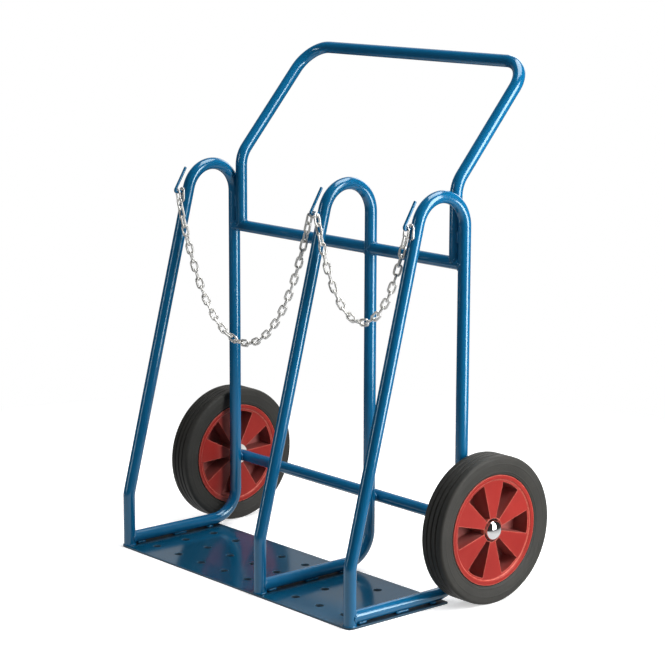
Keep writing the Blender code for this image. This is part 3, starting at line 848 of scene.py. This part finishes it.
def buildWheelCentre(side, sign, setup):
    name = "wheelCentre" + side
    shape = newShape()
    addTurned(shape, wheelProfile(setup), setup["steps"])
    wheel = linkObject(name + "Blank", meshFrom(name, shape))
    face, web, turn = setup["face"], setup["web"], setup["turn"][side]
    pockets = {
        "outer": (web - face, 2 * face, turn + 180.0 / setup["spokes"]),
        "inner": (-2 * face, face - web, turn),
    }
    cutters = []
    for label, reach in pockets.items():
        cutter = linkObject(label + side, meshFrom(label + side, pocketShape(setup, *reach)))
        cutters.append(cutter)
        cut = wheel.modifiers.new(label, "BOOLEAN")
        cut.operation = "DIFFERENCE"
        cut.solver = "EXACT"
        cut.object = cutter
    mesh = bakedMesh(wheel)
    mesh.name = name
    softenEdges(mesh, setup)
    for obj in [wheel, *cutters]:
        bpy.data.objects.remove(obj)
    if sign < 0:
        mesh.transform(Matrix.Scale(-1.0, 4, (1, 0, 0)))
        mesh.flip_normals()
    putPiece(name, mesh, redPlastic, "wheel_" + side.lower(), "red_plastic",
             ["wheel_centre_" + side.lower()], wheelPlace(sign, setup["offset"]), setup["sharp"])


tyreSetup = {
    "bead": 0.1023, "beadHalf": 0.0205, "flange": 0.1118, "bedded": 0.0003, "gap": 0.0016,
    "half": 0.028, "tread": 0.150, "shoulder": 0.006, "shoulderStep": 9.0,
    "drop": 0.005, "swell": 2.2, "wallSteps": 40,
    "ribs": ((0.1185, 0.0007, 0.0006), (0.1345, 0.0009, 0.0005)),
    "grooves": (0.012, 0.0, -0.012), "grooveW": 0.0035, "grooveD": 0.0025, "grooveEdge": 0.0004,
    "steps": 160,
}


def tyreProfile(setup):
    half, tread, shoulder = setup["half"], setup["tread"], setup["shoulder"]
    start, end = setup["flange"] + setup["gap"], tread - shoulder
    side = [
        (setup["bead"], setup["beadHalf"]),
        (setup["flange"] + setup["bedded"], setup["beadHalf"]),
        (start, half - setup["drop"]),
    ]
    # sidewall swelling from the rim to the shoulder, with fine moulded ribs
    for i in range(1, setup["wallSteps"] + 1):
        share = i / setup["wallSteps"]
        radius = start + (end - start) * share
        along = half - setup["drop"] * (1 - share) ** setup["swell"]
        for middle, width, rise in setup["ribs"]:
            along += rise * math.exp(-((radius - middle) / width) ** 2)
        side.append((radius, min(along, half)))
    turn = arcPoints((half - shoulder, end), shoulder, 0.0, 90.0, setup["shoulderStep"])
    side += [(r, a) for a, r in turn[1:]]
    floor, cut, edge = tread - setup["grooveD"], setup["grooveW"] / 2, setup["grooveEdge"]
    wall = [(tread, cut + edge), (tread - edge, cut), (floor, cut / 2)]
    grooves = []
    for middle in setup["grooves"]:
        grooves += [(r, middle + a) for r, a in wall]
        grooves += [(r, middle - a) for r, a in reversed(wall)]
    return side + grooves + [(r, -a) for r, a in reversed(side)]


def buildTyre(side, sign, setup):
    shape = newShape()
    addTurned(shape, tyreProfile(setup), setup["steps"])
    putShape("tyre" + side, shape, tyreRubber, "wheel_" + side.lower(), "black_rubber",
             ["tyre_" + side.lower()], wheelPlace(sign, wheelSetup["offset"]))


hubSetup = {
    "axle": 0.010, "gap": 0.0003, "chamfer": 0.0004, "steps": 64, "sharp": 40.0,
    "bush": 0.0132, "bushLong": 0.012,
    "bushFlange": {"Outer": 0.0230, "Inner": 0.0185}, "bushFlangeT": 0.0022,
    "washer": {"Inner": 0.0225, "Outer": 0.017}, "washerT": 0.002,
    "cap": 0.020, "capH": 0.015, "capDome": 0.010, "capStep": 5, "capTop": 0.0035,
    "capRim": ((0.0, 0.0012), (0.0003, 0.0006), (-0.0004, 0.0)),
}


def chamfered(points, cut, most=0.3):
    # every corner of a closed profile just broken
    result = []
    count = len(points)
    for i, point in enumerate(points):
        here = Vector(point)
        for other in (points[i - 1], points[(i + 1) % count]):
            way = Vector(other) - here
            result.append(tuple(here + way.normalized() * min(cut, way.length * most)))
    return result


def hubProfiles(setup):
    # (radius, along) lines of one wheel's fittings, each from its own seat
    bore, cut = setup["axle"] + setup["gap"], setup["chamfer"]
    thick, tube, end = setup["bushFlangeT"], setup["bush"], -setup["bushLong"]
    profiles = {}
    for label, radius in setup["bushFlange"].items():
        bush = [(bore, thick), (radius, thick), (radius, 0.0)]
        bush += [(tube, 0.0), (tube, end), (bore, end)]
        profiles["hubBush" + label] = chamfered(bush, cut)
    thick = setup["washerT"]
    for label, radius in setup["washer"].items():
        washer = [(bore, thick), (radius, thick), (radius, 0.0), (bore, 0.0)]
        profiles["washer" + label] = chamfered(washer, cut)
    cap, spring = setup["cap"], setup["capH"] - setup["capDome"]
    inside = setup["capH"] - setup["capTop"]
    angles = [math.radians(a) for a in range(90, -1, -setup["capStep"])]
    dome = [(cap * math.cos(a), spring + setup["capDome"] * math.sin(a)) for a in angles]
    dome[0] = (0.0, setup["capH"])
    rim = [(cap + out, along) for out, along in setup["capRim"]]
    profiles["axleCap"] = dome + rim + [(bore, 0.0), (bore, inside), (0.0, inside)]
    return profiles


def buildHubFittings(side, sign, setup):
    gap, washerT = setup["gap"], setup["washerT"]
    low = side.lower()
    wheel = "wheel_" + low
    floor = wheelSetup["offset"] + wheelSetup["face"] - wheelSetup["recessDepth"]
    hubInner = wheelSetup["offset"] - wheelSetup["hubInner"]
    washerIn = hubInner - setup["bushFlangeT"] - washerT - 2 * gap
    washerOut = floor + setup["bushFlangeT"] + 2 * gap
    fittings = [
        ("hubBushOuter", floor + gap, blackNylon, "black_nylon", wheel, "hub_bush_outer_"),
        ("hubBushInner", hubInner - gap, blackNylon, "black_nylon", wheel, "hub_bush_inner_"),
        ("washerInner", washerIn, brightZinc, "bright_zinc", "frame", "washer_inner_"),
        ("washerOuter", washerOut, blackNylon, "black_nylon", "frame", "washer_outer_"),
        ("axleCap", washerOut + washerT + gap, capChrome, "chrome", "frame", "axle_cap_"),
    ]
    profiles = hubProfiles(setup)
    for label, at, finish, slot, body, node in fittings:
        # the inner bush faces the frame, and the cap's line is open on the axis
        way = -sign if label == "hubBushInner" else sign
        shape = newShape()
        profile = [(r, way * a) for r, a in profiles[label]]
        addTurned(shape, profile, setup["steps"], label != "axleCap")
        putShape(label + side, shape, finish, body, slot, [node + low], wheelPlace(sign, at),
                 setup["sharp"])


for side, sign in (("Left", -1), ("Right", 1)):
    buildWheelCentre(side, sign, wheelSetup)
    buildTyre(side, sign, tyreSetup)
    buildHubFittings(side, sign, hubSetup)
print("wheels built")

chainSetup = {
    "wire": 0.0046, "width": 0.0164, "hooked": {"wire": 0.0036, "width": 0.015}, "nearLeg": 4,
    "pitch": 0.0196, "fuse": 0.0011, "clear": 0.0003, "ease": 0.00002,
    "links": {"Left": 40, "Right": 26}, "twist": 45.0, "seam": 0.16, "seamWide": 1.1,
    "crownSteps": 14, "sideSteps": 8, "sides": 14, "sharp": 80.0,
}


def spanPoints(hook, saddle, links, setup, spread=20, rounds=60):
    # bearing points of the links down one span and up to the saddle link
    hang = hookSetup["radius"] + setup["fuse"] / 2 + setup["clear"]
    length = links * setup["pitch"] - hang
    side = math.copysign(1.0, saddle.x - hook.x)
    width = abs(saddle.x - hook.x)
    fall = saddle.z - hook.z
    # the catenary's scale, found by halving
    low, high = width / spread, width * spread
    for i in range(rounds):
        scale = (low + high) / 2
        if 2 * scale * math.sinh(width / (2 * scale)) > math.sqrt(length ** 2 - fall ** 2):
            low = scale
        else:
            high = scale
    first = scale * math.atanh(fall / length) - width / 2
    points = [hook]
    for k in range(1, links + 1):
        run = k * setup["pitch"] - hang
        x = scale * math.asinh(run / scale + math.sinh(first / scale))
        z = scale * (math.cosh(x / scale) - math.cosh(first / scale))
        points.append(hook + Vector((side * (x - first), 0.0, z)))
    points[0] = hook - (points[1] - hook).normalized() * hang
    return points


def addLink(shape, start, end, normal, setup):
    along = (end - start).normalized()
    across = along.cross(normal)
    crown = (setup["width"] - setup["wire"]) / 2
    straight = (setup["pitch"] - setup["ease"] + setup["wire"]) / 2 - crown
    centre = (start + end) / 2
    path = []
    for sign in (1, -1):
        for i in range(setup["crownSteps"] + 1):
            angle = math.pi * i / setup["crownSteps"]
            reach = along * (straight + crown * math.sin(angle))
            path.append(centre + sign * (reach + across * crown * math.cos(angle)))
        lastPoint = path[-1]
        for i in range(1, setup["sideSteps"]):
            path.append(lastPoint - sign * along * 2 * straight * i / setup["sideSteps"])
    # one straight side carries the butt weld
    seam = setup["crownSteps"] + setup["sideSteps"] // 2

    def swell(i):
        return 1.0 + setup["seam"] * math.exp(-((i - seam) / setup["seamWide"]) ** 2)

    addRings(shape, sweepRings(path, setup["wire"] / 2, setup["sides"], True, swell), True)


def buildChain(setup):
    corners = hookCorners(0.0, hookSetup)
    rod = hookSetup["radius"]
    # links on a hook have the thinner wire that fits its slot, and the next ones clear the leg
    hooked = {**setup, **setup["hooked"]}
    narrow = {**setup, "width": hooked["width"]}
    wire = hooked["wire"] / 2
    tipLean = math.atan2(corners[2].y - corners[1].y, hookSetup["rise"])
    lift = rod + setup["clear"] + wire
    back = (lift + wire) * math.tan(tipLean) + rod / math.cos(tipLean)
    y = corners[1].y + back + setup["clear"] + wire
    middle = hoopSetup["across"]["Middle"]
    saddleZ = hookSetup["z"] + lift - (hooked["width"] - hooked["wire"]) / 2
    crowns = [Vector((middle + sign * setup["pitch"] / 2, y, saddleZ)) for sign in (-1, 1)]
    across = Vector((0.0, 1.0, 0.0))
    shape = newShape()
    addLink(shape, *crowns, across, hooked)
    for side, crown in zip(("Left", "Right"), crowns):
        hook = Vector((hoopSetup["across"][side], y, hookSetup["z"]))
        links = setup["links"][side]
        points = spanPoints(hook, crown, links, setup)
        for k, (before, after) in enumerate(zip(points, points[1:])):
            along = (after - before).normalized()
            # the span twists one way on its way down and back on its way up
            twist = -math.radians(setup["twist"]) * math.sin(2 * math.pi * k / (links - 1))
            normal = Matrix.Rotation(twist, 3, along) @ across
            size = hooked if k == 0 else narrow if k < setup["nearLeg"] else setup
            addLink(shape, before, after, normal if k % 2 == 0 else along.cross(normal), size)
    putShape("chainLinks", shape, brightZinc, "chain", "bright_zinc", ["chain"],
             sharp=setup["sharp"])


buildChain(chainSetup)

# a loose spare link on each outer hook, between the chain and the hoop
spareSetup = {
    "wire": 0.0046, "width": 0.016, "pitch": 0.0242, "y": 0.0043, "lift": 0.0001, "ease": 0.00002,
    "seam": 0.10, "seamWide": 1.1, "crownSteps": 16, "sideSteps": 8, "sides": 16, "sharp": 80.0,
}


def buildSpareLinks(setup):
    shape = newShape()
    for side in ("Left", "Right"):
        top = hookSetup["z"] + hookSetup["radius"] + setup["lift"] + setup["wire"] / 2
        at = Vector((hoopSetup["across"][side], setup["y"], top))
        addLink(shape, at - Vector((0, 0, setup["pitch"])), at, Vector((0.0, 1.0, 0.0)), setup)
    putShape("spareLinks", shape, brightZinc, "frame", "bright_zinc", sharp=setup["sharp"])


buildSpareLinks(spareSetup)
print("chain built")

stageSetup = {
    "reach": 14.0, "sink": 0.0002, "fade": (1.0, 1.7),
    # the paper's dark tone under the plate is painted shade
    "paper": 0.88, "paperShadeUnderPlate": 0.015, "shade": (-0.006, -0.001), "glow": 0.50, "bounce": 0.32,
    "gloss": (0.85, 0.05), "glossReach": (0.7, 1.5),
}


def mixShaders(tree, factor, first, second):
    return addNode(tree, "ShaderNodeMixShader", None, {
        0: factor, 1: first.outputs[0], 2: second.outputs[0]})


def buildStage(setup):
    reach = setup["reach"]
    corners = [(-reach, -reach, 0), (reach, -reach, 0), (reach, reach, 0), (-reach, reach, 0)]
    mesh = bpy.data.meshes.new("floorSheet")
    mesh.from_pydata(corners, [], [(0, 1, 2, 3)])
    floor = linkObject("floorSheet", mesh)
    floor.location.z = -setup["sink"]
    material = bpy.data.materials.new("whitePaper")
    material.use_nodes = True
    tree = material.node_tree
    tree.nodes.clear()
    out = addNode(tree, "ShaderNodeOutputMaterial")
    light = addNode(tree, "ShaderNodeLightPath").outputs
    where = addNode(tree, "ShaderNodeTexCoord").outputs["Object"]
    away = vectorMath(tree, "LENGTH", {0: where})["Value"]
    # painted shade: the paper under the plate is painted dark and loses its glow, with a soft edge,
    # as the plate's shadow
    half = plateSetup["depth"] / 2
    middle = (0.0, plateSetup["front"] + half, 0.0)
    box = vectorMath(tree, "SUBTRACT", {0: where, 1: middle})
    size = vectorMath(tree, "ABSOLUTE", {0: box["Vector"]})
    past = vectorMath(tree, "SUBTRACT", {0: size["Vector"], 1: (plateSetup["half"], half, 0.0)})
    sides = addNode(tree, "ShaderNodeSeparateXYZ", None, {0: past["Vector"]}).outputs
    most = addNode(tree, "ShaderNodeMath", {"operation": "MAXIMUM"}, {
        0: sides["X"], 1: sides["Y"]}).outputs["Value"]
    tone = mapRange(tree, most, *setup["shade"], setup["paperShadeUnderPlate"], setup["paper"])
    matt = addNode(tree, "ShaderNodeBsdfDiffuse", None, {"Color": tone})
    level = mapRange(tree, most, *setup["shade"], 0.0, setup["glow"])
    glow = addNode(tree, "ShaderNodeEmission", None, {"Strength": level})
    # near the object the paper takes its shadow, further off it is plain white
    lit = addNode(tree, "ShaderNodeAddShader", None, {0: matt.outputs[0], 1: glow.outputs[0]})
    white = addNode(tree, "ShaderNodeEmission")
    seen = mixShaders(tree, mapRange(tree, away, *setup["fade"]), lit, white)
    mirrored = addNode(tree, "ShaderNodeEmission", None, {
        "Strength": mapRange(tree, away, *setup["glossReach"], *setup["gloss"])})
    dim = addNode(tree, "ShaderNodeBsdfDiffuse", None, {"Color": (*[setup["bounce"]] * 3, 1.0)})
    toCamera = mixShaders(tree, light["Is Camera Ray"], dim, seen)
    toGloss = mixShaders(tree, light["Is Glossy Ray"], toCamera, mirrored)
    toGlass = mixShaders(tree, light["Is Transmission Ray"], toGloss, seen)
    tree.links.new(toGlass.outputs[0], out.inputs["Surface"])
    mesh.materials.append(material)


lightSetup = {
    "ambient": 0.22, "backdropWay": (-0.756, 0.654, 0.0), "backdropEdge": (0.62, 0.86),
    "backdrop": 0.48, "room": 0.03,
    "lamps": {
        "overheadSoftbox": {
            "at": (0.2, 0.9, 3.2), "to": (0.0, 0.05, 0.3), "size": (2.2, 1.8), "power": 75.0},
        "sideSoftbox": {
            "at": (1.42, 0.60, 0.88), "to": (0.0, 0.1, 0.78), "size": (0.56, 1.6), "power": 33.0},
        "backFill": {
            "at": (-1.2, 2.9, 1.9), "to": (0.0, 0.1, 0.5), "size": (1.6, 1.6), "power": 24.0},
        "leftStrip": {
            "at": (-1.1, -2.5, 1.2), "to": (0.0, 0.0, 0.5), "size": (0.4, 1.8), "power": 14.0},
    },
}


def addLamp(name, lamp):
    data = bpy.data.lights.new(name, "AREA")
    data.shape = "RECTANGLE"
    data.size, data.size_y = lamp["size"]
    data.energy = lamp["power"]
    obj = linkObject(name, data)
    obj.location = lamp["at"]
    aim = Vector(lamp["to"]) - Vector(lamp["at"])
    obj.rotation_euler = aim.to_track_quat("-Z", "Y").to_euler()


def buildLights(setup):
    world = bpy.data.worlds.new("studio")
    bpy.context.scene.world = world
    world.use_nodes = True
    tree = world.node_tree
    tree.nodes.clear()
    out = addNode(tree, "ShaderNodeOutputWorld")
    light = addNode(tree, "ShaderNodeLightPath").outputs
    where = addNode(tree, "ShaderNodeTexCoord").outputs["Generated"]
    # mirrors see the white backdrop behind the object and a dim room in front
    toward = vectorMath(tree, "DOT_PRODUCT", {0: where, 1: setup["backdropWay"]})["Value"]
    level = mapRange(tree, toward, *setup["backdropEdge"], setup["room"], setup["backdrop"])
    mirrored, ambient, white = (
        addNode(tree, "ShaderNodeBackground", None, {"Color": (1, 1, 1, 1), "Strength": strength})
        for strength in (level, setup["ambient"], 1.0))
    toGloss = mixShaders(tree, light["Is Glossy Ray"], ambient, mirrored)
    toGlass = mixShaders(tree, light["Is Transmission Ray"], toGloss, white)
    toCamera = mixShaders(tree, light["Is Camera Ray"], toGlass, white)
    tree.links.new(toCamera.outputs[0], out.inputs["Surface"])
    for name, lamp in setup["lamps"].items():
        addLamp(name, lamp)


buildStage(stageSetup)
buildLights(lightSetup)
print("stage and lights built")
